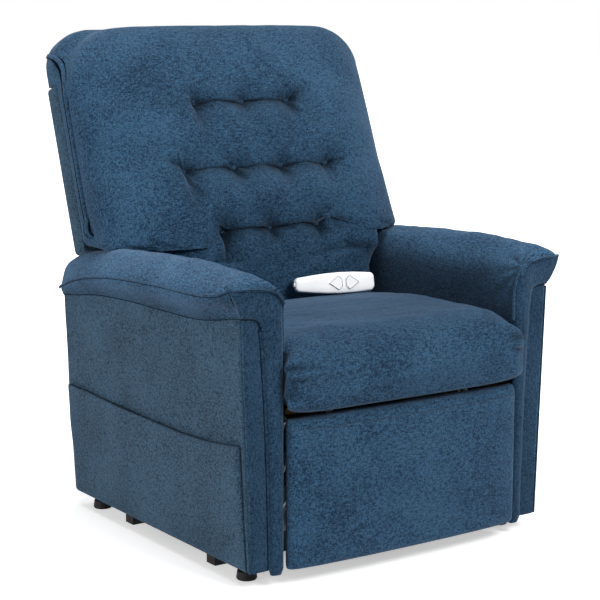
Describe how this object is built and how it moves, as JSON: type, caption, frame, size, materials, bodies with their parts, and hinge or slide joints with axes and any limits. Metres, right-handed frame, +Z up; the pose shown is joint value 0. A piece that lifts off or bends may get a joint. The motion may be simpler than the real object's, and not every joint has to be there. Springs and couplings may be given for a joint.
{
  "type": "lift recliner chair",
  "caption": "Powered lift recliner armchair with a tufted back, padded arms, pantograph footrest, side pocket and lift linkage on a floor base.",
  "frame": {"origin": "on the floor, under the middle of the bounding box", "axes": "+X to the sitter's left-hand side as drawn right of the front view, -Y the way the sitter faces (front of the seat), +Z up"},
  "size_m": [0.888, 0.8856, 1.131],
  "materials": {
    "cloth": "soft slubbed chenille",
    "cloth_side": "soft slubbed chenille, darker faces",
    "frame_steel": "black powder coat",
    "zinc_steel": "zinc plated",
    "timber": "raw plywood",
    "black_plastic": "moulded, matte",
    "white_plastic": "moulded, satin"
  },
  "bodies": {
    "base": {"base_side_rail_left": "frame_steel", "base_side_rail_right": "frame_steel", "base_front_tube": "frame_steel", "base_rear_tube": "frame_steel", "tube_end_caps": "black_plastic", "glide_feet": "black_plastic", "base_pivot_brackets": "frame_steel", "power_box": "black_plastic", "power_inlet": "black_plastic"},
    "lift_link": {"lift_links": "frame_steel", "lift_cross_tube": "frame_steel"},
    "guide_link": {"guide_links": "frame_steel"},
    "actuator_body": {"actuator_gearbox": "black_plastic", "actuator_motor": "frame_steel", "actuator_tube": "black_plastic"},
    "actuator_rod": {"actuator_rod": "zinc_steel", "rod_end": "zinc_steel"},
    "chair_frame": {"side_plate_left": "frame_steel", "side_plate_right": "frame_steel", "front_cross_tube": "frame_steel", "rear_cross_tube": "frame_steel", "arm_frame_left": "timber", "arm_frame_right": "timber", "arm_pad_left": "cloth", "arm_pad_right": "cloth", "arm_side_panel_left": "cloth_side", "arm_side_panel_right": "cloth", "arm_front_panel_left": "cloth", "arm_front_panel_right": "cloth", "arm_rear_panel_left": "cloth_side", "arm_rear_panel_right": "cloth_side", "side_pocket_left": "cloth_side", "rear_panel": "cloth_side"},
    "drive_tube": {"drive_tube": "frame_steel", "seat_rear_arms": "frame_steel"},
    "seat_front_link": {"seat_front_links": "frame_steel"},
    "seat": {"seat_rails": "frame_steel", "seat_cross_tubes": "frame_steel", "seat_deck": "timber", "seat_springs": "zinc_steel", "seat_cushion": "cloth"},
    "foot_link_rear": {"foot_links_rear": "zinc_steel"},
    "foot_link_outer": {"foot_links_outer": "zinc_steel"},
    "foot_link_front": {"foot_links_front": "zinc_steel"},
    "foot_link_inner": {"foot_links_inner": "zinc_steel"},
    "footrest": {"foot_brackets": "zinc_steel", "footrest_board": "cloth"},
    "backrest": {"back_brackets": "frame_steel", "back_frame": "timber", "back_shell": "cloth_side", "back_cushion": "cloth", "back_buttons": "cloth"},
    "back_link": {"back_links": "frame_steel"},
    "handset": {"handset_case": "white_plastic", "handset_gland": "white_plastic"},
    "button_left": {"handset_button_left": "white_plastic"},
    "button_right": {"handset_button_right": "white_plastic"}
  },
  "joints": [
    {"name": "lift", "type": "hinge", "parent": "base", "child": "lift_link", "pos_m": [0, -0.19566, 0.062], "axis": [1, 0, 0], "range_deg": [0, 60]},
    {"name": "frame_tilt", "type": "hinge", "parent": "lift_link", "child": "chair_frame", "pos_m": [0, 0.18734, 0.09], "axis": [-1, 0, 0], "range_deg": [0, 32]},
    {"name": "guide_link", "type": "hinge", "parent": "base", "child": "guide_link", "pos_m": [0, -0.24266, 0.072], "axis": [1, 0, 0], "range_deg": [0, 55]},
    {"name": "actuator_swing", "type": "hinge", "parent": "base", "child": "actuator_body", "pos_m": [0, -0.27266, 0.065], "axis": [1, 0, 0], "range_deg": [0, 54.3]},
    {"name": "actuator_stroke", "type": "slide", "parent": "actuator_body", "child": "actuator_rod", "axis": [0, 0.6153, 0.7883], "range_m": [0, 0.118]},
    {"name": "recline", "type": "hinge", "parent": "chair_frame", "child": "drive_tube", "pos_m": [0, -0.00566, 0.24], "axis": [1, 0, 0], "range_deg": [0, 45]},
    {"name": "seat_float", "type": "hinge", "parent": "drive_tube", "child": "seat", "pos_m": [0, 0.05744, 0.33011], "axis": [-1, 0, 0], "range_deg": [0, 45]},
    {"name": "seat_front_link", "type": "hinge", "parent": "chair_frame", "child": "seat_front_link", "pos_m": [0, -0.24266, 0.24], "axis": [1, 0, 0], "range_deg": [0, 45]},
    {"name": "foot_rear", "type": "hinge", "parent": "seat", "child": "foot_link_rear", "pos_m": [0, -0.32266, 0.237], "axis": [-1, 0, 0], "range_deg": [0, 89.56]},
    {"name": "foot_outer", "type": "hinge", "parent": "foot_link_rear", "child": "foot_link_outer", "pos_m": [0, -0.25366, 0.074], "axis": [1, 0, 0], "range_deg": [0, 112.65]},
    {"name": "foot_board", "type": "hinge", "parent": "foot_link_outer", "child": "footrest", "pos_m": [0, -0.38466, 0.313], "axis": [-1, 0, 0], "range_deg": [0, 105.09]},
    {"name": "foot_front", "type": "hinge", "parent": "seat", "child": "foot_link_front", "pos_m": [0, -0.30266, 0.322], "axis": [-1, 0, 0], "range_deg": [0, 81.19]},
    {"name": "foot_inner", "type": "hinge", "parent": "foot_link_front", "child": "foot_link_inner", "pos_m": [0, -0.23466, 0.07], "axis": [1, 0, 0], "range_deg": [0, 105.02]},
    {"name": "back_recline", "type": "hinge", "parent": "seat", "child": "backrest", "pos_m": [0, 0.25734, 0.4], "axis": [-1, 0, 0], "range_deg": [0, 25]},
    {"name": "back_link", "type": "hinge", "parent": "chair_frame", "child": "back_link", "pos_m": [0, 0.14734, 0.175], "axis": [1, 0, 0], "range_deg": [0, 30.6]},
    {"name": "handset_lift", "type": "slide", "parent": "seat", "child": "handset", "axis": [0, -0.2588, 0.9659], "range_m": [0, 0.3]},
    {"name": "button_left_press", "type": "slide", "parent": "handset", "child": "button_left", "axis": [0.2532, 0.9448, -0.2079], "range_m": [0, 0.001], "stiffness_N_per_m": 600, "springref_m": -0.001},
    {"name": "button_right_press", "type": "slide", "parent": "handset", "child": "button_right", "axis": [0.2532, 0.9448, -0.2079], "range_m": [0, 0.001], "stiffness_N_per_m": 600, "springref_m": -0.001}
  ],
  "couplings": [
    {"joint": "frame_tilt", "follows": "lift", "ratio": 0.53333},
    {"joint": "guide_link", "follows": "lift", "ratio": 0.91667},
    {"joint": "actuator_swing", "follows": "lift", "ratio": 0.905},
    {"joint": "actuator_stroke", "follows": "lift", "m_per_rad": 0.11268},
    {"joint": "seat_float", "follows": "recline", "ratio": 1},
    {"joint": "seat_front_link", "follows": "recline", "ratio": 1},
    {"joint": "foot_rear", "follows": "recline", "ratio": 1.9902},
    {"joint": "foot_outer", "follows": "recline", "ratio": 2.5033},
    {"joint": "foot_board", "follows": "recline", "ratio": 2.3353},
    {"joint": "foot_front", "follows": "recline", "ratio": 1.8042},
    {"joint": "foot_inner", "follows": "recline", "ratio": 2.3338},
    {"joint": "back_recline", "follows": "recline", "ratio": 0.55556},
    {"joint": "back_link", "follows": "recline", "ratio": 0.68}
  ]
}
